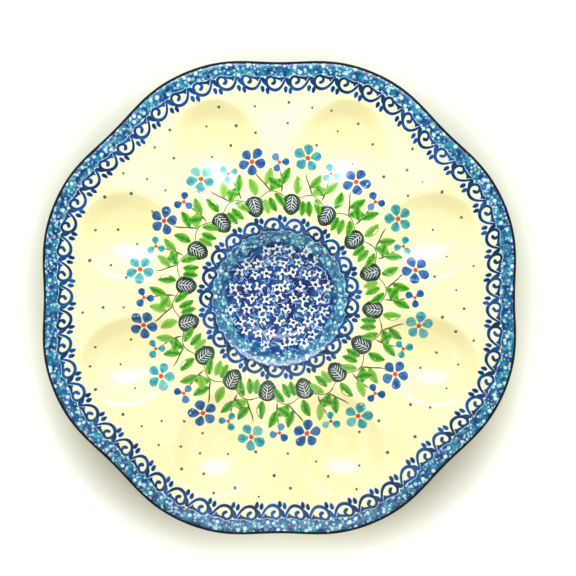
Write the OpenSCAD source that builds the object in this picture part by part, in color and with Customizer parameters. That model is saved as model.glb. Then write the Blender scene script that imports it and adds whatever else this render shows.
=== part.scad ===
// Deviled egg platter: one stoneware body with a scalloped rim, an egg-shaped well under
// every lobe, a dip dish in the middle and a turned foot ring, and the two coats of glaze
// that cover it all but the foot ring.

/* [Platter] */
// Width across two opposite lobes, over the glaze
platter_d = 265; // [245:1:290]
// Height of the lip at a lobe, over the glaze
platter_h = 30; // [27:0.5:36]
// Lobes of the rim, each with its own egg well
lobes = 8; // [6:1:9]
// How far the rim draws in at a notch between two lobes
notch = 4.6; // [0:0.1:8]
// How far the shoulders of a lobe stand out from a plain wave
shoulder = 0.6; // [0:0.1:1.5]
// Thickness of the clay wall
wall = 5.5; // [4.5:0.1:6.5]
// Thickness of the rounded lip
lip = 4.6; // [3.5:0.1:5.5]
// How much lower the lip runs at a notch than at a lobe
lip_wave = 0.8; // [0:0.1:2]

/* [Egg wells] */
// Length of a well along its spoke
well_l = 54; // [46:0.5:58]
// Width of a well across its spoke
well_w = 42; // [36:0.5:44]
// Distance from the middle of the platter to the middle of a well
well_at = 85; // [80:0.5:92]
// Depth of a well below the field round the dip dish
well_deep = 9.5; // [6:0.1:10.5]
// Share by which a well widens towards the rim, as an egg does
egg_share = 0.14; // [0:0.01:0.25]
// Power of a well's fill: 1 makes a plain bowl, less makes its sides steeper, its floor flatter
well_power = 0.65; // [0.5:0.05:1]

/* [Dip dish] */
// Width of the dish where its wall meets the field
dish_d = 78; // [70:0.5:84]
// Width of the level floor of the dish
dish_floor_d = 38; // [30:0.5:50]
// Depth of the dish
dish_deep = 11; // [6:0.1:12]

/* [Foot ring] */
// Outer diameter of the bearing face
foot_d = 108; // [102:0.5:112]
// Width of the bearing face
foot_w = 5; // [3:0.1:7]
// Air between the underside of the dish and the table
foot_air = 2.5; // [1.5:0.1:5]

/* [Glaze] */
// Thickness of the fired glaze
glaze = 0.5; // [0.3:0.05:0.8]

/* [Hidden] */
// Stations round each lobe
lobe_steps = 10;
// Radius that eases the two edges of the bearing face
foot_ease = 0.8;
// Width by which the foot ring spreads up to its root on each side
foot_flare = 1.2;
// Stretch of a well's edge, on each side of it, that is rounded over
edge_share = 0.25;
// Power of the field's curve from the dish up to the lip
flare_power = 3;
// Steps in which the round of the lip turns over
lip_steps = 3;

// Where the rings of the loft lie, from the middle to the dish's edge and on to the lip
dish_shares = [0.54, 0.67, 0.79, 0.9, 1];
field_shares = [0.1, 0.18, 0.26, 0.35, 0.45, 0.56, 0.66, 0.74, 0.81, 0.9];
under_field_shares = [0.92, 0.81, 0.72, 0.6, 0.45, 0.31];
under_dish_shares = [0.96, 0.81, 0.64];

lobe_r = platter_d / 2 - glaze;
lip_r = lip / 2;
dish_r = dish_d / 2;
dish_floor_r = dish_floor_d / 2;
foot_r = foot_d / 2;
field_h = foot_air + glaze + wall + dish_deep;
lip_h = platter_h - glaze - lip_r;
well_floor_h = field_h - well_deep;
foot_root_r = foot_r + foot_flare;
foot_in_r = foot_r - foot_w;
foot_throat_r = foot_in_r - foot_flare;
stations = lobes * lobe_steps;
// Lean of the lip, square to the flare of the field that runs up to it
lip_lean = atan(flare_power * (lip_h + lip_r - field_h) / (lobe_r - lip_r - dish_r));

// Outline of the clay: full lobes with soft notches between them
function rim_r(a) =
    lobe_r
    - notch / 2 * (1 + cos(lobes * a))
    + shoulder / 2 * (1 - cos(2 * lobes * a));

// Middle of the lip's round, and its height, which dips a little at each notch
function lip_mid_r(a) = rim_r(a) - lip_r;
function lip_mid_h(a) = lip_h - lip_wave / 2 * (1 + cos(lobes * a));

// Radius and height at which the field runs into the lip's round
function field_end_r(a) = lip_mid_r(a) - lip_r * sin(lip_lean);
function field_end_h(a) = lip_mid_h(a) + lip_r * cos(lip_lean);

// Plain field between the dish and the lip, with no wells in it
function flare(r, a) = max(0, (r - dish_r) / (field_end_r(a) - dish_r));
function field(r, a) = field_h + (field_end_h(a) - field_h) * pow(flare(r, a), flare_power);

// Angle from the spoke of the nearest well
function off_spoke(a) = a - (floor(a * lobes / 360) + 0.5) * 360 / lobes;

// Fill of a well, 1 at its lowest point and 0 outside its rounded edge. grow widens the
// egg on all sides, so that the underside keeps the wall's thickness.
function round_over(u) =
    u >= edge_share ? u : u <= -edge_share ? 0 : pow(u + edge_share, 2) / (4 * edge_share);
function well(r, a, grow) =
    let (
        along = (r * cos(off_spoke(a)) - well_at) / (well_l / 2 + grow),
        across = r * sin(off_spoke(a)) / ((well_w / 2 + grow) * (1 + egg_share * along))
    )
    pow(round_over(1 - along * along - across * across), well_power);

// Fill of the dish, 1 over its level floor and 0 from its edge outwards
function ease(t) = t <= 0 ? 0 : t >= 1 ? 1 : t * t * (3 - 2 * t);
function dish(r, grow) = ease((dish_r + grow - r) / (dish_r - dish_floor_r));

// Height of the clay's upper face: the field, sunk to the wells' and the dish's floors
function face_h(r, a, grow = 0) =
    let (
        f = field(r, a),
        w = well(r, a, grow)
    )
    f + (well_floor_h - f) * w - dish_deep * dish(r, grow);

// Height of the underside. The wall thins to the lip as the field flares.
function under_h(r, a) =
    let (thick = wall + (lip / cos(lip_lean) - wall) * min(1, flare(r, a)))
    face_h(r, a, wall / 2) - thick;

// Rings of the loft, skin being the distance that they stand off the clay
function ring(n_r, n_h) = [for (i = [0:stations - 1]) let (a = 360 * i / stations, r = n_r(a))
    [r * cos(a), r * sin(a), n_h(r, a)]];
function dish_ring(share, skin) =
    ring(function(a) share * dish_r, function(r, a) face_h(r, a) + skin);
function field_ring(share, skin) =
    ring(function(a) dish_r + share * (field_end_r(a) - dish_r), function(r, a) face_h(r, a) + skin);
function lip_ring(step, skin) =
    let (turn = 90 + lip_lean - 180 * step / lip_steps)
    ring(
        function(a) lip_mid_r(a) + (lip_r + skin) * cos(turn),
        function(r, a) lip_mid_h(a) + (lip_r + skin) * sin(turn)
    );
function under_field_ring(share, skin) =
    ring(function(a) dish_r + share * (field_end_r(a) - dish_r), function(r, a) under_h(r, a) - skin);
function under_ring(r, skin) =
    ring(function(a) r, function(r, a) under_h(r, a) - skin);
function foot_ring(r, h) = ring(function(a) r, function(r, a) h);

// The upper face, the lip and the underside in to the foot ring's root
function outer_rings(skin) = concat(
    [for (s = dish_shares) dish_ring(s, skin)],
    [for (s = field_shares) field_ring(s, skin)],
    [for (k = [0:lip_steps]) lip_ring(k, skin)],
    [for (s = under_field_shares) under_field_ring(s, skin)],
    [under_ring(foot_root_r, skin)]
);

// The foot ring: down its outer side, across the level bearing face and up its inner side
function foot_rings() = [
    foot_ring(foot_r, foot_ease),
    foot_ring(foot_r - foot_ease, 0),
    foot_ring(foot_in_r + foot_ease, 0),
    foot_ring(foot_in_r, foot_ease)
];

// The underside within the foot ring
function inner_rings(skin) = concat(
    [under_ring(foot_throat_r, skin)],
    [for (s = under_dish_shares) under_ring(s * dish_r, skin)]
);

function reversed(rows) = [for (i = [len(rows) - 1:-1:0]) rows[i]];

// A quad split along its shorter diagonal, so that skins that touch are split alike
function split(points, a, b, c, d) =
    norm(points[a] - points[c]) < norm(points[b] - points[d])
        ? [[a, b, c], [a, c, d]]
        : [[a, b, d], [b, c, d]];

// A closed skin through the rings, from a pole inside the first ring to one inside the last
module loft(first, rings, last) {
    n = stations;
    points = concat([first], [for (row = rings) each row], [last]);
    far = len(points) - 1;
    faces = concat(
        [for (i = [0:n - 1]) [0, 1 + i, 1 + (i + 1) % n]],
        [for (k = [0:len(rings) - 2], i = [0:n - 1])
            let (p = 1 + k * n, q = p + n, j = (i + 1) % n)
            each split(points, p + i, q + i, q + j, p + j)],
        [for (i = [0:n - 1]) let (p = far - n) [p + i, far, p + (i + 1) % n]]
    );
    polyhedron(points, faces);
}

module stoneware_body() {
    color("#b9a58c")
        loft(
            [0, 0, face_h(0, 0)],
            concat(outer_rings(0), foot_rings(), inner_rings(0)),
            [0, 0, under_h(0, 0)]
        );
}

module face_glaze() {
    color("#fbf6cf")
        loft(
            [0, 0, face_h(0, 0) + glaze],
            concat(outer_rings(glaze), reversed(outer_rings(0))),
            [0, 0, face_h(0, 0)]
        );
}

module base_glaze() {
    color("#f3ecd0")
        loft(
            [0, 0, under_h(0, 0)],
            concat(reversed(inner_rings(0)), inner_rings(glaze)),
            [0, 0, under_h(0, 0) - glaze]
        );
}

stoneware_body();
face_glaze();
base_glaze();
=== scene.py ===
import bpy
import numpy as np
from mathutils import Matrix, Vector


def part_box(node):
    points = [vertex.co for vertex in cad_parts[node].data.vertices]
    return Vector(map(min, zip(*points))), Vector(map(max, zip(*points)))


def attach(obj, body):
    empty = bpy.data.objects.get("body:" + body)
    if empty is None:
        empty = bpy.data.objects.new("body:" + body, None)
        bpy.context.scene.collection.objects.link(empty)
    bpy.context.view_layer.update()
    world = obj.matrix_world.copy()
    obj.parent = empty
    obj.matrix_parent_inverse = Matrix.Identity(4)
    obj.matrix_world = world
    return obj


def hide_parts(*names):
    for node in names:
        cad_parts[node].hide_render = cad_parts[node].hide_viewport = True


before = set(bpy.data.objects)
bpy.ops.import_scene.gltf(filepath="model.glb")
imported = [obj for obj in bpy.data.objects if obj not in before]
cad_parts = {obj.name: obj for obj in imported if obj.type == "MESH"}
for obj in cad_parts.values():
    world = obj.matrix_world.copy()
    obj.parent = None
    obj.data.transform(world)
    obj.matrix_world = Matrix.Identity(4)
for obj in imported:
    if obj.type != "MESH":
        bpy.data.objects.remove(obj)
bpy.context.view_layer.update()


# Stoneware body. One piece of pressed and fired clay: scalloped lip, field, eight egg
# wells, dip dish and turned foot ring. Only the foot ring is bare; glaze hides the rest.

mm = 0.001

LOBES = 8
lobe_r = 131.95 * mm
notch = 4.6 * mm
shoulder = 0.6 * mm
wall = 5.5 * mm
lip = 4.6 * mm
lip_r = lip / 2
lip_wave = 0.8 * mm
solid_glaze = 0.5 * mm
lip_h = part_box("face_glaze")[1].z - solid_glaze - lip_r
well_l = 54 * mm
well_w = 42 * mm
well_at = 85 * mm
well_deep = 9.5 * mm
egg_share = 0.14
edge_share = 0.25
fullness = 0.65
dish_r = 39 * mm
brow_r = 1.04 * dish_r
dish_floor_r = 19 * mm
dish_deep = 11 * mm
field_h = 19.5 * mm
foot_r = 54 * mm
foot_w = 5 * mm
foot_ease = 0.8 * mm
foot_flare = 1.2 * mm
root_r = foot_r + foot_flare
throat_r = foot_r - foot_w - foot_flare
flare_power = 3
lip_lean = np.arctan(flare_power * (lip_h + lip_r - field_h) / (lobe_r - lip_r - dish_r))


def rim_r(a):
    """Outline of the clay: the lobe's radius, less a cosine wave of one notch a lobe, plus a
    wave of twice that order that fills the lobes' shoulders."""
    return lobe_r - notch / 2 * (1 + np.cos(LOBES * a)) + shoulder / 2 * (1 - np.cos(2 * LOBES * a))


def lip_mid(a):
    """Radius and height of the middle of the lip's round, which dips a little at a notch."""
    return rim_r(a) - lip_r, lip_h - lip_wave / 2 * (1 + np.cos(LOBES * a))


def field_end(a):
    """Radius and height at which the field runs into the lip's leaning round."""
    r, h = lip_mid(a)
    return r - lip_r * np.sin(lip_lean), h + lip_r * np.cos(lip_lean)


def flare(r, a):
    """Share of the way from the dish's edge to the lip."""
    return np.maximum(0, (r - dish_r) / (field_end(a)[0] - dish_r))


def well(r, a, grow=0):
    """Fill of the nearest well: 1 less the square of the distance in an egg that widens
    towards the rim, its edge rounded over by a parabola, to a power that fills its bottom."""
    sector = 2 * np.pi / LOBES
    off = a - (np.floor(a / sector) + 0.5) * sector
    along = (r * np.cos(off) - well_at) / (well_l / 2 + grow)
    across = r * np.sin(off) / ((well_w / 2 + grow) * (1 + egg_share * along))
    fill = 1 - along ** 2 - across ** 2
    rounded = (fill + edge_share) ** 2 / (4 * edge_share)
    return np.where(fill >= edge_share, fill, np.where(fill <= -edge_share, 0, rounded)) ** fullness


def clay_h(r, a, grow=0):
    """Height of the clay's upper face: a field that rises with the cube of the flare, sunk
    to the wells' floor and by the dish's smooth step, then the upper half of the lip."""
    end_r, end_h = field_end(a)
    plain = field_h + (end_h - field_h) * flare(r, a) ** flare_power
    step = np.clip((dish_r + grow - r) / (dish_r - dish_floor_r), 0, 1)
    sunk = plain + (field_h - well_deep - plain) * well(r, a, grow)
    sunk = sunk - dish_deep * step ** 2 * (3 - 2 * step)
    mid_r, mid_h = lip_mid(a)
    over = mid_h + np.sqrt(np.maximum(0, lip_r ** 2 - (r - mid_r) ** 2))
    return np.where(r > end_r, over, sunk)


def under_h(r, a):
    """Height of the underside: the upper face with its hollows grown by half the wall, less
    a thickness that runs from the wall's to the lip's."""
    thick = wall + (lip / np.cos(lip_lean) - wall) * np.minimum(1, flare(r, a))
    return clay_h(np.minimum(r, field_end(a)[0]), a, wall / 2) - thick


def round_turn(columns):
    """Azimuths of a row of points once round, which doesn't repeat its first."""
    return np.linspace(0, 2 * np.pi, columns, endpoint=False)[None, :]


def in_space(r, a, h):
    """Points from their radius, azimuth and height."""
    return np.stack(np.broadcast_arrays(r * np.cos(a), r * np.sin(a), h), axis=-1)


def ring_rows(columns, face_steps, lip_steps, under_steps):
    """Grid of points, a row for each ring: out over the face, two fifths of them within the
    dish's brow, round the lip by equal turns and back under to the foot ring's root."""
    a = round_turn(columns)
    end_r = field_end(a)[0]
    dish_rows = np.linspace(0, brow_r, face_steps * 2 // 5 + 1)[1:, None] + 0 * a
    field_rows = brow_r + np.linspace(0, 1, face_steps * 3 // 5 + 1)[1:, None] * (end_r - brow_r)
    face_r = np.concatenate([dish_rows, field_rows])
    mid_r, mid_h = lip_mid(a)
    turn = np.pi / 2 + lip_lean - np.pi * np.linspace(0, 1, lip_steps + 1)[1:, None]
    under_start = mid_r + lip_r * np.sin(lip_lean)
    under_r = under_start + np.linspace(0, 1, under_steps + 1)[1:, None] * (root_r - under_start)
    rows_r = np.concatenate([face_r, mid_r + lip_r * np.cos(turn), under_r])
    rows_h = np.concatenate([clay_h(face_r, a), mid_h + lip_r * np.sin(turn), under_h(under_r, a)])
    return in_space(rows_r, a, rows_h)


def inner_rows(columns, steps):
    """Grid of the underside within the foot ring, from its throat to near the middle."""
    a = round_turn(columns)
    r = throat_r * np.linspace(1, 0, steps + 1)[:-1, None]
    return in_space(r, a, under_h(r, a))


def foot_rows(columns, steps):
    """Grid of the foot ring: quarter-round edges and a level bearing face at height zero."""
    bend = np.linspace(0, np.pi / 2, steps)
    out_r = foot_r - foot_ease + foot_ease * np.cos(bend)
    in_r = foot_r - foot_w + foot_ease - foot_ease * np.cos(bend[::-1])
    h = foot_ease - foot_ease * np.sin(bend)
    return in_space(
        np.concatenate([out_r, in_r])[:, None], round_turn(columns), np.concatenate([h, h[::-1]])[:, None])


def piece(name, points, faces, node):
    """A mesh object from points and faces, shaded smooth, riding on the platter."""
    mesh = bpy.data.meshes.new(name)
    mesh.from_pydata(points, [], faces)
    mesh.polygons.foreach_set("use_smooth", np.ones(len(mesh.polygons), dtype=bool))
    mesh.update()
    made = bpy.data.objects.new(name, mesh)
    bpy.context.scene.collection.objects.link(made)
    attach(made, "root")
    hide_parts(node)
    return made


def shell(name, rows, first, last, node):
    """A closed skin through rings of points, with a pole before the first and after the last."""
    count, columns = rows.shape[:2]
    points = np.concatenate([[first], rows.reshape(-1, 3), [last]])
    k, i = np.meshgrid(np.arange(count - 1), np.arange(columns), indexing="ij")
    ring, j = 1 + k * columns, (i + 1) % columns
    quads = np.stack([ring + i, ring + columns + i, ring + columns + j, ring + j], -1).reshape(-1, 4)
    i = np.arange(columns)
    j = (i + 1) % columns
    far = len(points) - 1
    fan = np.stack([0 * i, 1 + i, 1 + j], -1)
    fan_last = np.stack([0 * i + far, far - columns + j, far - columns + i], -1)
    return piece(name, points, quads.tolist() + fan.tolist() + fan_last.tolist(), node)


def screen_colour(code):
    """Linear colour from a hex code as a screen shows it."""
    share = np.array([int(code[i:i + 2], 16) for i in (0, 2, 4)]) / 255
    linear = np.where(share <= 0.04045, share / 12.92, ((share + 0.055) / 1.055) ** 2.4)
    return (*linear.tolist(), 1)


class Finish:
    """A node material: each call of add makes a node, sets its values and links its inputs."""

    def __init__(self, name, **settings):
        self.material = bpy.data.materials.new(name)
        self.start(self.material, "Principled BSDF", settings)

    def start(self, owner, shader, settings):
        """Opens the owner's nodes and gives its shader the settings."""
        owner.use_nodes = True
        self.tree = owner.node_tree
        self.shader = self.tree.nodes[shader]
        self.set(self.shader, settings)

    def set(self, node, inputs):
        """Gives inputs, by name or number, a link, a hex code's colour or a value."""
        for key, value in inputs.items():
            socket = node.inputs[key if isinstance(key, int) else key.replace("_", " ")]
            if isinstance(value, bpy.types.NodeSocket):
                self.tree.links.new(value, socket)
            else:
                socket.default_value = screen_colour(value) if isinstance(value, str) else value

    def add(self, kind, inputs=None, out=0, **props):
        node = self.tree.nodes.new("ShaderNode" + kind)
        for key, value in props.items():
            setattr(node, key, value)
        self.set(node, inputs or {})
        return node.outputs[out]

    def place(self):
        """Object coordinates."""
        return self.add("TexCoord", out="Object")

    def noise(self, size, detail=2.0):
        """Noise whose blotches are about size across."""
        return self.add("TexNoise", {"Vector": self.place(), "Scale": 1 / size, "Detail": detail})

    def step(self, value, low, high, to_low=0.0, to_high=1.0, smooth=True):
        """Share of the way that value has gone from low to high."""
        return self.add("MapRange", {0: value, 1: low, 2: high, 3: to_low, 4: to_high},
                        interpolation_type="SMOOTHSTEP" if smooth else "LINEAR")

    def mix(self, share, a, b):
        """Colour that is share of the way from a to b."""
        return self.add("Mix", {0: share, 6: a, 7: b}, out=2, data_type="RGBA")

    def clouds(self, size, low, high, a, b, detail=2.0):
        """Colour that turns from a to b where noise of that size goes from low to high."""
        return self.mix(self.step(self.noise(size, detail), low, high), a, b)

    def math(self, operation, a, b=0.0):
        """Result of one sum on a and b."""
        return self.add("Math", {0: a, 1: b}, operation=operation)

    def paint(self, colour):
        """Gives the shader its colour."""
        self.set(self.shader, {"Base_Color": colour})

    def bump(self, height, depth, strength=1.0):
        """Normal of a surface raised by height times depth."""
        self.set(self.shader, {"Normal": self.add(
            "Bump", {"Height": height, "Distance": depth, "Strength": strength})})


clay_columns = 240
clay_rows = np.concatenate([
    ring_rows(clay_columns, 60, 10, 50), foot_rows(clay_columns, 6), inner_rows(clay_columns, 24)])
stoneware = shell(
    "stoneware_body", clay_rows, (0, 0, clay_h(0, 0)), (0, 0, under_h(0, 0)), "stoneware_body")

bare = Finish("bare_stoneware", Roughness=0.82)
fired = bare.clouds(6 * mm, 0.3, 0.7, "e8dfd0", "d9cab4", 4)
bare.paint(bare.clouds(0.45 * mm, 0.62, 0.72, fired, "8f7554"))
bare.bump(bare.noise(0.3 * mm, 3), 0.08 * mm)
stoneware.data.materials.append(bare.material)


# Glaze. The cream coat that the platter is dipped in: one skin over the face, the lip and the
# underside, and one within the foot ring. It ends in a soft bead at the ring's root. Here it
# is a little thinner than the solid's, so that the painting on it stays inside the solid.

glaze = 0.42 * mm
bead_rings = 3
closing_sunk = 0.02 * mm


def normals_of(rows):
    """Unit normals of a closed grid of rings: the cross product of its differences round
    and along, which points out of the clay for rows that run out over the face."""
    round_step = np.roll(rows, -1, axis=1) - np.roll(rows, 1, axis=1)
    along_step = np.gradient(rows, axis=0)
    n = np.cross(along_step, round_step)
    return n / np.linalg.norm(n, axis=-1, keepdims=True)


def coat(rows):
    """Outer rings at the glaze's thickness off the clay, which thins away by a square root over
    the last rings, and every third ring, sunk a little into the clay, to close it."""
    to_end = (len(rows) - 1 - np.arange(len(rows))) / bead_rings
    thin = np.sqrt(np.clip(to_end, 0, 1))
    n = normals_of(rows)
    return rows + n * (glaze * thin)[:, None, None], (rows - n * closing_sunk)[::-3]


outer, inner = coat(ring_rows(400, 115, 12, 50))
face_glaze = shell(
    "face_glaze", np.concatenate([outer, inner]),
    (0, 0, clay_h(0, 0) + glaze), (0, 0, clay_h(0, 0)), "face_glaze")

outer, inner = coat(inner_rows(240, 40)[::-1, ::-1])
base_glaze = shell(
    "base_glaze", np.concatenate([outer, inner]),
    (0, 0, under_h(0, 0) - glaze), (0, 0, under_h(0, 0)), "base_glaze")


def glazed(name):
    """A glossy glaze: hard, smooth, with the faint swell of a dipped and fired coat."""
    made = Finish(name, Roughness=0.25, Specular_IOR_Level=0.15, IOR=1.5,
                  Coat_IOR=1.6, Coat_Weight=1.0, Coat_Roughness=0.16)
    made.bump(made.noise(5 * mm, 2), 0.03 * mm, 0.5)
    return made


def creamy(made):
    """Colour of the cream coat: two creams in broad clouds, with a few iron flecks."""
    cloudy = made.clouds(28 * mm, 0.35, 0.65, "fef9c6", "fdf6bc", 3)
    return made.clouds(0.9 * mm, 0.78, 0.84, cloudy, "d9c48c", 1)


cream = glazed("cream_glaze")
cream.paint(creamy(cream))
for made in (face_glaze, base_glaze):
    made.data.materials.append(cream.material)


# Lip line. A dark slip line that the decorator lays round the lip with a brush, on the
# turn of the lip, so that it shows from above, from the side and a little from below.

edge_sunk = 0.03 * mm
seeded = np.random.default_rng(8)
line_columns = 1440
line_turns = np.radians([73, 69, 57, 44, 31, 18, 5, -8, -19, -25])
line_lift = 0.03 * mm


def sheets(name, marks, closed=False):
    """One mesh of many painted marks. Each of marks holds the points and normals of marks of
    one shape, (marks, rows, columns, 3); the columns of closed ones meet. Attributes give each
    point's share along and across its mark, and a chance value for the whole mark."""
    points, normals, quads, shares, start = [], [], [], [], 0
    for at, n in marks:
        count, rows, columns = at.shape[:3]
        m, k, i = np.meshgrid(
            np.arange(count), np.arange(rows - 1), np.arange(columns - (not closed)), indexing="ij")
        row, j = start + (m * rows + k) * columns, (i + 1) % columns
        quads.append(np.stack([row + i, row + columns + i, row + columns + j, row + j], -1).reshape(-1, 4))
        chance = seeded.random((count, 1, 1)) + np.zeros((rows, columns))
        along, across = np.linspace(0, 1, columns), np.linspace(-1, 1, rows)[:, None]
        shares.append(np.stack(np.broadcast_arrays(along, across, chance), -1).reshape(-1, 3))
        points.append(at.reshape(-1, 3))
        normals.append(n.reshape(-1, 3))
        start += at.size // 3
    made = piece(name, np.concatenate(points), np.concatenate(quads).tolist(), "face_glaze")
    share = made.data.attributes.new("share", "FLOAT_VECTOR", "POINT")
    share.data.foreach_set("vector", np.concatenate(shares).ravel().astype(np.float32))
    made.data.normals_split_custom_set_from_vertices(np.concatenate(normals))
    return made


a = round_turn(line_columns)
wander = 0.04 * np.sin(23 * a + 1) + 0.03 * np.sin(41 * a)
turn = line_turns[:, None] + wander
direction = in_space(np.cos(turn), a, np.sin(turn))
mid_r, mid_h = lip_mid(a)
rise = np.full(len(line_turns), line_lift)
rise[[0, -1]] = -edge_sunk
line_at = in_space(mid_r, a, mid_h) + direction * (lip_r + glaze + rise)[:, None, None]
lip_line = sheets("lip_line", [(line_at[None], direction[None])], closed=True)
slip = Finish("lip_slip", Roughness=0.5, Specular_IOR_Level=0.15)
slip.paint(slip.clouds(1.5 * mm, 0.3, 0.8, "04070f", "0c1626"))
slip.bump(slip.noise(1.2 * mm, 3), 0.03 * mm)
lip_line.data.materials.append(slip.material)


# Sponged band. Cobalt and turquoise dabbed on with a cut sponge inside the lip line, with the
# sponge's holes left pale, under the clear glaze. Within it the cream runs milky to the rim.

band_in = 8.2 * mm
band_out = 1.05 * mm
band_lift = 0.03 * mm
milky_in = 21 * mm
milky_out = 1.4 * mm
milky_lift = 0.016 * mm
mark_step = 0.002 * mm


def on_glaze(plan, lift):
    """Points at lift off the glaze over points of the plan, and the glaze's normals there:
    each point of the clay moved along its normal, from the clay's slopes over a fiftieth of
    a millimetre, by the coat and the lift."""
    x, y = plan[..., 0], plan[..., 1]
    near = 0.02 * mm

    def height(x, y):
        return clay_h(np.hypot(x, y), np.arctan2(y, x))

    h = height(x, y)
    slope_x = (height(x + near, y) - height(x - near, y)) / (2 * near)
    slope_y = (height(x, y + near) - height(x, y - near)) / (2 * near)
    n = np.stack([-slope_x, -slope_y, np.ones_like(h)], -1)
    n = n / np.linalg.norm(n, axis=-1, keepdims=True)
    return np.stack([x, y, h], -1) + n * (glaze + lift)[..., None], n


def painted(name, plans, lift, finish, closed=False, tucked=(0, -1)):
    """Marks painted under the glaze's gloss: plans of (marks, rows, columns, 2), laid at lift
    off the glaze and each a step over the one before, with their tucked rows, and their ends,
    just under its surface."""
    marks = []
    for k, plan in enumerate(plans):
        rise = np.full(plan.shape[:3], lift + k * mark_step)
        rise[:, list(tucked)] = -edge_sunk
        if not closed:
            rise[:, :, [0, -1]] = -edge_sunk
        marks.append(on_glaze(plan, rise))
    sheets(name, marks, closed).data.materials.append(finish.material)


def polar(r, a):
    """Points of the plan from their radius and azimuth."""
    return np.stack([r * np.cos(a), r * np.sin(a)], -1)


def ragged(a, reach, orders):
    """Edge of dabbed colour: a sum of sine waves of chance phase, reach at the most."""
    waves = [np.sin(order * a + seeded.uniform(0, 6.3)) for order in orders]
    return reach * sum(waves) / len(waves)


def mark_shares(made):
    """Share along its mark, share across it and the mark's chance value, as three outputs."""
    share = made.add("Attribute", out="Vector", attribute_name="share")
    return made.add("SeparateXYZ", {"Vector": share}).node.outputs


def sponged(made, dab, hole, deep, middle, pale, bare):
    """Colour of sponged slip: blotches that run from deep to middle to pale, and soft holes of
    the bare ground in two sizes, whose strength is each cell's chance. dab and hole are sizes."""
    blotch = made.noise(dab, 3)
    body = made.mix(made.step(blotch, 0.4, 0.5), deep, middle)
    body = made.mix(made.step(blotch, 0.53, 0.62), body, pale)
    body = made.mix(made.step(made.noise(hole * 0.6, 2), 0.5, 0.66, 0, 0.8), body, deep)
    for size, strength in ((hole * 0.62, 0.75), (hole, 1.0)):
        cell = made.add("TexVoronoi", {"Vector": made.place(), "Scale": 1 / size, "Randomness": 1.0}).node
        chance = made.add("SeparateColor", {0: cell.outputs["Color"]})
        open_share = made.math("MULTIPLY", made.step(cell.outputs["Distance"], 0.24, 0.46, 1, 0),
                               made.step(chance, 0.1, 0.75, 0.12 * strength, strength))
        body = made.mix(open_share, body, bare)
    return body


a = round_turn(2160)
inner_edge = band_in + ragged(a, 0.9 * mm, (61, 97, 149, 211, 283, 331))
outer_edge = band_out + ragged(a, 0.25 * mm, (53, 131, 233))
milky = glazed("milky_ground")
milky.paint(milky.mix(milky.step(mark_shares(milky)[1], 0.3, 0.95), creamy(milky), "ecf4e6"))
inset = np.linspace(milky_in, milky_out, 30)[:, None]
painted("rim_ground", [polar(rim_r(a) - inset, a)[None]], milky_lift, milky, closed=True)

sponge = glazed("sponged_cobalt")
sponge.paint(sponged(sponge, 4 * mm, 3.0 * mm, "003a74", "046496", "2090a6", "c4eef2"))
inset = inner_edge + (outer_edge - inner_edge) * np.linspace(0, 1, 16)[:, None]
painted("rim_band", [polar(rim_r(a) - inset, a)[None]], band_lift, sponge, closed=True)


# Rim scrolls. Fifty-seven stamped curls in cobalt hang from the band like lace, each with a
# comma and a thorn under it and three leaves at its join. They bleed pale into the glaze.

RIM_CURLS = 57
lace_inset = 7.6 * mm
lace_r = 116 * mm
lace_lift = 0.07 * mm
bleed_lift = 0.036 * mm
brush = np.array([1, 0.72, -0.72, -1])


def ribbon(path, half, rows=brush):
    """Plan of a stroke: points of the path moved to its left by each row's share of the half
    width there, (rows, points, 2)."""
    step = np.gradient(path, axis=-2)
    step = step / np.maximum(np.linalg.norm(step, axis=-1, keepdims=True), 1e-12)
    left = np.stack([-step[..., 1], step[..., 0]], -1)
    return path[..., None, :, :] + left[..., None, :, :] * (half * rows[:, None])[..., None]


def path_through(points, count):
    """Smooth path through points, count of them: on each stretch the cubic whose slopes at its
    ends are half the step between the neighbours."""
    points = np.array(points, dtype=float)
    slope = np.gradient(points, axis=0)
    at = np.linspace(0, len(points) - 1, count)
    k = np.minimum(at.astype(int), len(points) - 2)
    u = (at - k)[:, None]
    rest = 1 - u
    return (points[k] * (1 + 2 * u) * rest ** 2 + slope[k] * u * rest ** 2
            + points[k + 1] * (3 - 2 * u) * u ** 2 - slope[k + 1] * rest * u ** 2)


def half_widths(count, halves):
    """Half width of a stroke at each of its count points: smooth steps between a few halves
    spread along it, as the brush is pressed and lifted."""
    u = np.linspace(0, len(halves) - 1, count)
    k = np.minimum(u.astype(int), len(halves) - 2)
    ease = (u - k) ** 2 * (3 - 2 * (u - k))
    halves = np.array(halves)
    return halves[k] * (1 - ease) + halves[k + 1] * ease


def leaf(base, tip, width, spread):
    """Plan of a small leaf from base to tip, larger by spread on all sides: its half width is
    a sine wave to a power."""
    base, tip = np.array(base), np.array(tip)
    ahead = (tip - base) / np.linalg.norm(tip - base) * spread
    u = np.linspace(0, 1, 10)
    path = base - ahead + (tip - base + 2 * ahead) * u[:, None]
    return ribbon(path, (width / 2 + spread) * np.sin(np.pi * u ** 0.85) ** 0.75)


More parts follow.
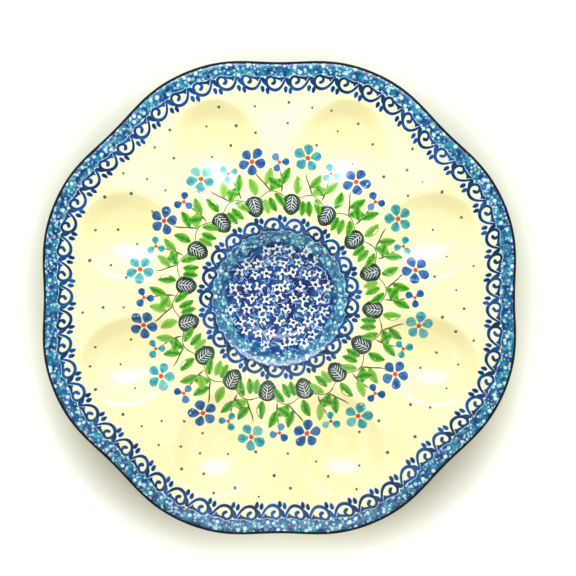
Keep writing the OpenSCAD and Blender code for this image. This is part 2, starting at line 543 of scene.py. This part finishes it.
def curl_marks(spread):
    """Marks of one curl in millimetres along and away from its band, larger by spread on all
    sides: a wave that breaks into a blob, a comma with a thorn under its mouth, a broad leaf
    at its join and two small ones over that."""
    wave = path_through([
        (-0.2, -0.1), (0.8, 2.9), (2.2, 5.2), (3.9, 6.6), (5.9, 7.0), (8.0, 6.4), (9.7, 4.8), (10.2, 2.7),
        (9.6, 0.9), (8.1, 0.0), (6.5, 0.5), (5.6, 1.9), (5.9, 3.1), (6.8, 3.4), (7.4, 2.9)], 64)
    wave_half = half_widths(64, [
        0.4, 0.75, 0.85, 0.98, 1.04, 1.04, 1.04, 1.0, 0.92, 0.88, 0.85, 0.86, 1.0, 1.3, 0.8])
    comma = path_through([(6.4, 0.2), (4.8, 0.7), (3.3, 1.1), (1.9, 1.1), (0.5, 0.1)], 18)
    comma_half = half_widths(18, [0.6, 0.75, 0.9, 1.1, 0.4])
    marks = [ribbon(wave, wave_half + spread), ribbon(comma, comma_half + spread)]
    for base, tip, width in (
            ((2.4, 1.0), (1.9, 2.9), 1.6), ((-0.4, 0.2), (-2.5, 5.2), 2.8),
            ((-0.3, 4.7), (-0.3, 8.7), 2.7), ((-2.9, 5.6), (-3.0, 9.6), 2.7)):
        marks.append(leaf(base, tip, width, spread))
    return [mark * mm for mark in marks]


def round_rim(mark):
    """Plan of a curl's mark all round the lip: its length becomes azimuth, and its height goes
    inwards from the lip's outline."""
    at = (np.arange(RIM_CURLS) * 2 * np.pi / RIM_CURLS)[:, None, None]
    a = at + mark[..., 0] / lace_r
    return polar(rim_r(a) - lace_inset - mark[..., 1], a)


def cobalt(name, deep, thin):
    """Cobalt brushed on: deep, thinner where chance noise and the stroke's chance say."""
    made = glazed(name)
    chance = made.math("MULTIPLY", mark_shares(made)[2], 0.25)
    pooled = made.math("ADD", made.noise(9 * mm, 2), chance)
    made.paint(made.mix(made.step(pooled, 0.5, 0.85), deep, thin))
    return made


lace = cobalt("scroll_cobalt", "042a54", "165096")
bled = glazed("cobalt_bleed")
bled.paint(bled.clouds(3 * mm, 0.4, 0.65, "a0cce2", "dcecec"))
painted("rim_bleed", [round_rim(mark) for mark in curl_marks(spread=0.36)], bleed_lift, bled)
painted("rim_scrolls", [round_rim(mark) for mark in curl_marks(spread=-0.02)], lace_lift, lace)


# Dish ground. The dish is laid in with cobalt, and a sponged ring goes round it up to the
# brow of its wall.

ground_r = 37.6 * mm
ring_in = 29.2 * mm
ring_full = 30.6 * mm
ring_wander = 3 * mm
ground_lift = 0.03 * mm

a = round_turn(720)
edge = ground_r + ragged(a, 0.9 * mm, (31, 47, 73, 101, 127))
share = np.linspace(0.002, 1, 62)[:, None]
laid_in = glazed("dish_cobalt")
ring = sponged(laid_in, 4 * mm, 3.1 * mm, "00467c", "0a70a0", "38a0b0", "c8f0f2")
patch = laid_in.noise(6 * mm, 3)
wash = laid_in.mix(laid_in.step(patch, 0.4, 0.5), "041a58", "083a86")
wash = laid_in.mix(laid_in.step(patch, 0.53, 0.6), wash, "0a5c88")
fine = laid_in.step(laid_in.noise(1.3 * mm, 2), 0.58, 0.7, 0, 0.7)
wash = laid_in.mix(fine, wash, "3a6cb4")
flat_place = laid_in.add("VectorMath", {0: laid_in.place(), 1: (1, 1, 0)}, operation="MULTIPLY")
out_from_middle = laid_in.add("VectorMath", {0: flat_place}, out="Value", operation="LENGTH")
wavy = laid_in.math("ADD", out_from_middle, laid_in.step(
    laid_in.noise(4 * mm, 2), 0, 1, -ring_wander, ring_wander, smooth=False))
laid_in.paint(laid_in.mix(laid_in.step(wavy, ring_in, ring_full), wash, ring))
painted("dish_ground", [polar(edge * share, a)[None]], ground_lift, laid_in, closed=True, tucked=(-1,))


# Dish florets. Small curled flowers left white in the cobalt, each round a dark eye, with
# pale blue dashes drawn between them.

floret_pitch = 7.5 * mm
row_pitch = 0.866 * floret_pitch
floret_stray = 0.7 * mm
field_of_florets = 29.5 * mm
floret_lift = 0.05 * mm
dash_tries = 900
dash_clear = 2.9 * mm
dash_lift = 0.04 * mm


def curve(points, count):
    """Smooth path that starts and ends at the first and last of a few points and leans to the
    ones between: a Bezier curve with them as its controls."""
    u = np.linspace(0, 1, count)[:, None]
    path = np.array(points, dtype=float)[:, None, :] + 0 * u
    while len(path) > 1:
        path = path[:-1] * (1 - u) + path[1:] * u
    return path[0]


def copies(mark, x, y, turn, size=1.0):
    """Plan of copies of a mark, each turned, sized and moved to its place."""
    x, y, turn, size = (np.broadcast_to(v, np.shape(x))[:, None, None] for v in (x, y, turn, size))
    u, v = mark[..., 0] * size, mark[..., 1] * size
    return np.stack([x + u * np.cos(turn) - v * np.sin(turn), y + u * np.sin(turn) + v * np.cos(turn)], -1)


def floret(stubs, sweep):
    """Marks of a floret: a ring that curls in round its eye over sweep degrees, and stubs of
    petal as (angle, reach) round it."""
    turn = np.radians(np.linspace(-20, sweep, 36))
    inward = np.clip((turn - turn[-1] + 1.7) / 1.7, 0, 1)
    half = half_widths(36, [0.4, 0.55, 0.6, 0.6, 0.56, 0.5, 0.4, 0.1])
    made = [ribbon(polar(1.5 - 0.85 * inward ** 1.4, turn), half)]
    for angle, reach in stubs:
        ahead = np.array([np.cos(np.radians(angle)), np.sin(np.radians(angle))])
        bent = np.array([-ahead[1], ahead[0]])
        path = curve([ahead * 1.1, ahead * 2.4 - bent * 0.1, ahead * reach + bent * 0.8], 9)
        made.append(ribbon(path, half_widths(9, [0.5, 0.7, 0.86, 0.84, 0.3])))
    return [mark * mm for mark in made]


def scattered(count, clear):
    """Chance places in the field of florets, clear of each floret's middle."""
    x_all, y_all = seeded.uniform(-1, 1, (2, count)) * field_of_florets
    inside = np.hypot(x_all, y_all) < field_of_florets
    near = np.min(np.hypot(x_all[:, None] - x, y_all[:, None] - y), axis=1)
    return x_all[inside & (near > clear)], y_all[inside & (near > clear)]


row, column = np.meshgrid(np.arange(-5, 6), np.arange(-5, 6), indexing="ij")
x = ((column + 0.5 * (row % 2)) * floret_pitch).ravel() + seeded.normal(0, floret_stray, row.size)
y = (row * row_pitch).ravel() + seeded.normal(0, floret_stray, row.size)
kept = np.hypot(x, y) < field_of_florets
x, y = x[kept], y[kept]
turned = seeded.uniform(0, 2 * np.pi, len(x))
size = seeded.uniform(0.84, 1.02, len(x))

dashes_x, dashes_y = scattered(dash_tries, dash_clear)
dash = ribbon(curve([(-1.9, 0), (0, 1.3), (1.9, 0)], 8), half_widths(8, [0.05, 0.3, 0.34, 0.05])) * mm
dash_turn = seeded.uniform(0, 6.3, len(dashes_x))
pale_blue = glazed("pale_blue_dashes")
pale_blue.paint(pale_blue.clouds(3 * mm, 0.45, 0.6, "6ca4e0", "c8e2f2"))
painted("dish_dashes", [copies(dash, dashes_x, dashes_y, dash_turn)], dash_lift, pale_blue)

kinds = (
    floret(((-18, 3.2), (58, 2.9), (131, 3.4), (205, 2.8), (270, 3.1)), 320),
    floret(((5, 2.8), (84, 3.3), (160, 2.9), (242, 3.4)), 280),
    floret(((-40, 3.2), (32, 2.9), (110, 3.4), (196, 3.0)), 340))
marks = []
for k, kind in enumerate(kinds):
    chosen = np.arange(len(x)) % len(kinds) == k
    marks += [copies(mark, x[chosen], y[chosen], turned[chosen], size[chosen]) for mark in kind]
white = glazed("white_reserve")
white.paint(white.clouds(1.8 * mm, 0.46, 0.72, "f4f6f0", "a8cce8"))
painted("dish_florets", marks, floret_lift, white)


# Dish scrolls. The same cobalt curls as on the rim, a little heavier in the line, stand out
# from the sponged ring round the dish.

DISH_CURLS = 21
dish_lace_r = 36.9 * mm
dish_curl_pitch = 12.8 * mm
dish_curl_height = 0.9
dish_lace_lift = 0.095 * mm
dish_bleed_lift = 0.045 * mm


def round_dish(mark):
    """Plan of a curl's mark all round the dish, clockwise and outwards from the ring."""
    at = (np.arange(DISH_CURLS) * 2 * np.pi / DISH_CURLS)[:, None, None]
    a = at - mark[..., 0] * 2 * np.pi / (DISH_CURLS * dish_curl_pitch)
    return polar(dish_lace_r + mark[..., 1] * dish_curl_height, a)


painted("dish_bleed", [round_dish(mark) for mark in curl_marks(spread=0.5)], dish_bleed_lift, bled)
painted("dish_scrolls", [round_dish(mark) for mark in curl_marks(spread=0.12)], dish_lace_lift, lace)


# Vine. One thin brushed stem that winds round the dish, with a stalk to each blossom and bud.
# All of the wreath repeats sixteen times, each time along a spray's own direction.

SPRAYS = 16
spray_at = (np.arange(SPRAYS) + 0.5) * 2 * np.pi / SPRAYS
vine_mid_r = 56.3 * mm
vine_sway = 2.2 * mm
vine_phase = 0.4
vine_half = 0.42 * mm
vine_lift = 0.035 * mm
crown_share = 0.3


def vine_r(a):
    """Radius of the vine: a circle with one sine wave a spray."""
    return vine_mid_r + vine_sway * np.sin(SPRAYS * a + vine_phase)


def spray(mark):
    """Plan of a mark on each spray, from millimetres out from the middle and across."""
    return copies(mark, 0 * spray_at, 0 * spray_at, spray_at)


a = np.linspace(0, 2 * np.pi, 960, endpoint=False)
middle = polar(vine_r(a), a)
outside = polar(vine_r(a) + vine_half, a)
inside = polar(vine_r(a) - vine_half, a)
vine_plan = np.stack([
    inside, inside * crown_share + middle * (1 - crown_share),
    outside * crown_share + middle * (1 - crown_share), outside])[None]
stem_brown = glazed("stem_brown_green")
stem_brown.paint(stem_brown.clouds(8 * mm, 0.4, 0.6, "3c5a34", "5d5040"))
painted("vine", [vine_plan], vine_lift, stem_brown, closed=True)
stalk_half = half_widths(14, [0.1, 0.55, 0.42, 0.42, 0.1])
painted("stalks", [spray(ribbon(curve(points, 14), stalk_half) * mm) for points in (
    ((57.5, -6.4), (62.5, -5.4), (66, -1.0), (70.3, -0.6)),
    ((55.6, 10.2), (60.5, 9.8), (65.5, 12.2), (68.9, 13.2)))], vine_lift, stem_brown)


# Light leaves. Almond leaves along the vine, each laid in with one stroke of a brush that
# carries two greens, so that it is deep along the rib and pale at its edges.

light_leaf_lift = 0.04 * mm
wide_brush = np.array([1, 0.82, 0.3, -0.3, -0.82, -1])


def almond(base, tip, width, bend, count=13):
    """Plan of an almond leaf from base to tip, bent to its left: a sine wave's half width."""
    base, tip = np.array(base), np.array(tip)
    side = np.array([base[1] - tip[1], tip[0] - base[0]]) * bend
    u = np.linspace(0, 1, count)
    half = width / 2 * np.sin(np.pi * u ** 0.9) ** 0.8
    return ribbon(curve([base, (base + tip) / 2 + side, tip], count), half, wide_brush)


light_leaves = [
    almond((58.4, -6.2), (63.4, -14.4), 5.4, 0.12), almond((62.0, -4.4), (71.0, -9.4), 5.2, -0.12),
    almond((59.5, 10.6), (63.8, 19.0), 5.2, 0.12), almond((61.0, 10.2), (71.2, 8.0), 5.0, 0.1),
    almond((57.0, 2.0), (67.4, 3.6), 5.4, -0.14), almond((54.6, -2.0), (45.8, -3.0), 4.8, 0.1),
    almond((55.2, -5.6), (46.2, -7.8), 4.8, -0.1), almond((56.8, -8.4), (47.6, -12.4), 4.4, 0.12)]
green = glazed("leaf_green")
_, across, chance = mark_shares(green)
streak = green.math("MULTIPLY", green.noise(1.4 * mm, 3), 0.9)
off_rib = green.math("ADD", green.math("ABSOLUTE", across), streak)
leaf_colour = green.mix(green.step(off_rib, 0.45, 1.0), "1f7a10", "64b828")
leaf_colour = green.mix(green.step(off_rib, 1.0, 1.45), leaf_colour, "b4e058")
green.paint(green.mix(green.step(chance, 0.6, 1.0, 0, 0.5), leaf_colour, "a8dc60"))
painted("light_leaves", [spray(mark * mm) for mark in light_leaves], light_leaf_lift, green)


# Dark leaves. Broad stamped leaves in slate green on the inner side of the vine, with the
# veins left white in them.

base, tip = np.array([57.2, 4.0]), np.array([45.2, 3.0])
dark_half = 5.6
dark_leaf_lift = 0.05 * mm
vein_lift = 0.065 * mm
dark_brush = np.array([1, 0.85, 0.45, 0, -0.45, -0.85, -1])

u = np.linspace(0, 1, 31)
spine = base + (tip - base) * u[:, None]
scallop = 1 + 0.05 * np.cos(16 * np.pi * u)
dark_plan = ribbon(spine, dark_half * np.sin(np.pi * u ** 0.85) ** 0.6 * scallop, dark_brush)
slate = glazed("leaf_slate")
slate.paint(slate.clouds(4 * mm, 0.35, 0.7, "142c24", "3e5c4c", 3))
painted("dark_leaves", [spray(dark_plan * mm)], dark_leaf_lift, slate)

ahead = (tip - base) / np.linalg.norm(tip - base)
side = np.array([-ahead[1], ahead[0]])
rib = curve([base + ahead * 0.6, base + ahead * 6 + side * 0.3, tip - ahead * 1.4], 10)
veins = [ribbon(rib, half_widths(10, [0.1, 0.36, 0.26, 0.1, 0.02]))]
for start, reach in ((1.2, 3.0), (2.8, 3.4), (4.6, 3.2), (6.4, 2.6), (8.0, 1.7)):
    for way in (1, -1):
        foot = base + ahead * start
        vein = curve([
            foot, foot + ahead * reach * 0.3 + side * way * reach * 0.6,
            foot + ahead * reach * 0.95 + side * way * reach], 7)
        veins.append(ribbon(vein, half_widths(7, [0.1, 0.24, 0.2, 0.03])))
painted("leaf_veins", [spray(vein * mm) for vein in veins], vein_lift, white)


# Blossoms. Five petals each, laid in with one press of a round brush, blue and turquoise by
# turns, with a small bud of the other colour beside each and a red eye dabbed on last.

petal_brush = np.array([1, 0.86, 0.4, -0.4, -0.86, -1])
blossom_u = np.where(np.arange(SPRAYS) % 2, 78.2, 76.2)
bud_u = 72.6
bud_v = 14.4
blossom_eye_r = 1.5 * mm
bud_eye_r = 1.05 * mm
petal_lift = 0.05 * mm
eye_lift = 0.065 * mm


def petals(count, first, last, width, gap_turn=0.0):
    """Plans of petals round an eye, from first to last out from it: half width a sine wave's
    power that is widest past the middle."""
    made = []
    for k in range(count):
        angle = 2 * np.pi * k / count + seeded.normal(0, 0.05) + gap_turn
        grown = seeded.uniform(0.92, 1.06)
        u = np.linspace(0, 1, 14)
        path = polar(first + (last * grown - first) * u, angle)
        half = width / 2 * seeded.uniform(0.94, 1.05) * np.sin(np.pi * u ** 1.35) ** 0.55
        made.append(ribbon(path, half, petal_brush))
    return made


def place_on(marks, which, u, v, turn):
    """Plan of marks at u out along and v across the chosen sprays, turned by turn."""
    at = spray_at[which]
    x, y = u * np.cos(at) - v * np.sin(at), u * np.sin(at) + v * np.cos(at)
    return [copies(mark * mm, x * mm, y * mm, at + turn[which]) for mark in marks]


def petal_finish(name, deep, middle, pale):
    """Petal colour: deep at the eye, paler to the edge, in streaks along the petal."""
    made = glazed(name)
    _, across, chance = mark_shares(made)
    rim = made.math("MULTIPLY", made.math("ABSOLUTE", across), 0.45)
    wet = made.math("ADD", rim, made.noise(2.2 * mm, 3))
    colour = made.mix(made.step(wet, 0.45, 0.75), deep, middle)
    colour = made.mix(made.step(wet, 0.78, 1.05), colour, pale)
    made.paint(made.mix(made.step(chance, 0.7, 1.0, 0, 0.45), colour, pale))
    return made


even, odd = np.arange(0, SPRAYS, 2), np.arange(1, SPRAYS, 2)
blossom_turn = seeded.normal(0, 0.2, SPRAYS) + 0.3
bud_turn = seeded.normal(0, 0.2, SPRAYS)
blue = petal_finish("petal_blue", "0c4488", "1c6cb0", "7ab8dc")
turquoise = petal_finish("petal_turquoise", "1a8a9c", "46b0b4", "9ad8d4")
blossom = petals(5, first=1.5, last=7.7, width=5.7)
bud = petals(3, first=1.0, last=5.6, width=4.4, gap_turn=np.pi / 3)
for name, with_blossom, with_bud, finish in (
        ("blue_petals", even, odd, blue), ("turquoise_petals", odd, even, turquoise)):
    painted(name, place_on(blossom, with_blossom, blossom_u[with_blossom], 0.0, blossom_turn)
          + place_on(bud, with_bud, bud_u, bud_v, bud_turn), petal_lift, finish)


def dabs(name, x, y, radius, lift, finish):
    """Round dabs at points of the plan, each with its own radius: four rings, closed."""
    around = np.linspace(0, 2 * np.pi, 16, endpoint=False)
    dab = polar(np.array([0.01, 0.55, 0.85, 1])[:, None], around)
    painted(name, [copies(dab, x, y, 0 * x, radius)], lift, finish, closed=True, tucked=(-1,))


red = glazed("eye_red")
red.paint(red.clouds(1.2 * mm, 0.35, 0.75, "d81f16", "f2604a"))
eye_u = np.concatenate([blossom_u, np.full(SPRAYS, bud_u)]) * mm
eye_v = np.concatenate([np.zeros(SPRAYS), np.full(SPRAYS, bud_v)]) * mm
at = np.concatenate([spray_at, spray_at])
eye_x, eye_y = eye_u * np.cos(at) - eye_v * np.sin(at), eye_u * np.sin(at) + eye_v * np.cos(at)
dabs("blossom_eyes", eye_x, eye_y, np.repeat([blossom_eye_r, bud_eye_r], SPRAYS), eye_lift, red)


# Dots. Single touches of grey turquoise, set down with the tip of a brush and scattered over
# the cream between wreath and rim.

DOTS = 88
dots_in = 84 * mm
dots_out = 113.5 * mm
dots_clear = 10.5 * mm
dots_inset = 19 * mm
dot_lift = 0.04 * mm

dot_x, dot_y = [], []
while len(dot_x) < DOTS:
    r, turn = seeded.uniform(dots_in, dots_out), seeded.uniform(0, 2 * np.pi)
    x, y = r * np.cos(turn), r * np.sin(turn)
    clear = all(np.hypot(x - p, y - q) > dots_clear for p, q in zip(dot_x, dot_y))
    if r < rim_r(turn) - dots_inset and clear:
        dot_x.append(x)
        dot_y.append(y)
dot_r = seeded.uniform(0.66, 1.02, DOTS) * mm
dot_grey = glazed("dot_grey_turquoise")
dot_grey.paint(dot_grey.clouds(0.8 * mm, 0.4, 0.7, "2c625c", "5f9486"))
dabs("dots", np.array(dot_x), np.array(dot_y), dot_r, dot_lift, dot_grey)


# Table and light. The platter lies on pale paper in a pale room that is dim overhead and near the floor.
# The paper carries a painted glow that only the camera sees. It grows from 130 to 180 mm out from the
# middle, so the paper turns white far out and the platter's shadow fades there. Some soft lamps light it,
# others only mirror in it.

paper_half = 3000 * mm
white_from = 130 * mm
white_full = 180 * mm

table_mesh = bpy.data.meshes.new("table")
corners = [(x * paper_half, y * paper_half, 0) for x, y in ((-1, -1), (1, -1), (1, 1), (-1, 1))]
table_mesh.from_pydata(corners, [], [(0, 1, 2, 3)])
table = bpy.data.objects.new("table", table_mesh)
bpy.context.scene.collection.objects.link(table)
paper = Finish("pale_paper", Base_Color="d0d3c9", Roughness=0.9)
seen = paper.add("LightPath", out="Is Camera Ray")
from_middle = paper.add("VectorMath", {0: paper.place()}, out="Value", operation="LENGTH")
# Painted glow: white light that only the camera sees, rising from none at white_from to full at white_full
# out from the middle. It whitens the paper far out and fades the platter's shadow on it.
painted_glow_far_out = paper.math("MULTIPLY", seen, paper.step(from_middle, white_from, white_full))
paper.set(paper.shader, {"Emission_Color": (1, 1, 1, 1), "Emission_Strength": painted_glow_far_out})
table.data.materials.append(paper.material)


class Room(Finish):
    """The world's nodes, made as a finish's are."""

    def __init__(self, name, **settings):
        self.world = bpy.data.worlds.new(name)
        self.start(self.world, "Background", settings)


room = Room("pale_room", Color=(1, 0.97, 0.92, 1))
bpy.context.scene.world = room.world
up = room.add("SeparateXYZ", {"Vector": room.add("TexCoord", out="Generated")}, out="Z")
room.set(room.shader, {"Strength": room.math(
    "MULTIPLY", room.step(up, 0.2, 0.56, 0.2, 1), room.step(up, 0.6, 0.86, 0.92, 0.09))})
seen = room.add("LightPath", out="Is Camera Ray")
backdrop = room.add("Background", {"Color": (1, 1, 1, 1)})
shown = room.add("MixShader", {0: seen, 1: room.shader.outputs[0], 2: backdrop})
room.set(room.tree.nodes["World Output"], {"Surface": shown})


def lamp(name, place, aim, size, power, colour=(1, 1, 1), mirrored=False):
    """A wide oval soft lamp at place, turned to aim, which either lights things or, when it is
    mirrored, only shows in the glaze's gloss."""
    light = bpy.data.lights.new(name, "AREA")
    light.shape = "ELLIPSE"
    light.size, light.size_y = size
    light.energy = power
    light.color = colour
    made = bpy.data.objects.new(name, light)
    made.location = place
    made.rotation_euler = (Vector(place) - Vector(aim)).to_track_quat("Z", "Y").to_euler()
    made.visible_camera = False
    made.visible_glossy = mirrored
    made.visible_diffuse = not mirrored
    bpy.context.scene.collection.objects.link(made)
    return made


platter_middle = (0, 0, 0)
sheen_aim = (0, -0.354, 0)
daylight = (0.98, 0.99, 1.02)
for way in (-1, 1):
    lamp("window", (0.15 * way, 0.25, 0.22), platter_middle, (0.4, 0.3), 0.62, daylight)
lamp("overhead", (0, 0.1, 1.1), platter_middle, (0.9, 0.9), 3.2)
lamp("warm_bounce", (0, -0.55, 0.5), platter_middle, (0.8, 0.5), 1.05, (1, 0.84, 0.64))
lamp("wide_sheen", (0, 0.353, 0.625), sheen_aim, (0.9, 0.46), 2.25, daylight, mirrored=True)
lamp("core_sheen", (0, 0.387, 0.588), sheen_aim, (0.7, 0.38), 2.0, daylight, mirrored=True)
lamp("ceiling_sheen", (0, -0.56, 4), platter_middle, (1.4, 0.42), 4.2, mirrored=True)

# Three white cards that brighten the paper close to the rim
card_r = 300 * mm
card_h = 90 * mm
card_aim_r = 170 * mm
for turn, spread in ((-0.5 * np.pi, 44), (-0.15, 60), (np.pi + 0.15, 60)):
    side = Vector((np.cos(turn), np.sin(turn), 0))
    stand = card_r * side + Vector((0, 0, card_h))
    card = lamp("white_card", stand, card_aim_r * side, (0.1, 0.05), 0.03)
    card.data.spread = np.radians(spread)


# Camera. Straight above, and so far off that a pixel at about the height of the lip is as wide
# as in the photograph, where the platter's middle is a little off the picture's.

photo_px = 576
middle_px_x = 279.4
middle_px_y = 297.7
pixel = 0.541 * mm
scale_h = 28 * mm

camera_data = bpy.data.cameras.new("camera")
camera_data.lens = 85
camera_data.sensor_width = 36
camera = bpy.data.objects.new("camera", camera_data)
bpy.context.scene.collection.objects.link(camera)
away = photo_px * pixel * camera_data.lens / camera_data.sensor_width
camera.location = (
    (photo_px / 2 - middle_px_x) * pixel, (middle_px_y - photo_px / 2) * pixel, scale_h + away)
bpy.context.scene.camera = camera
bpy.context.scene.view_settings.view_transform = "Standard"
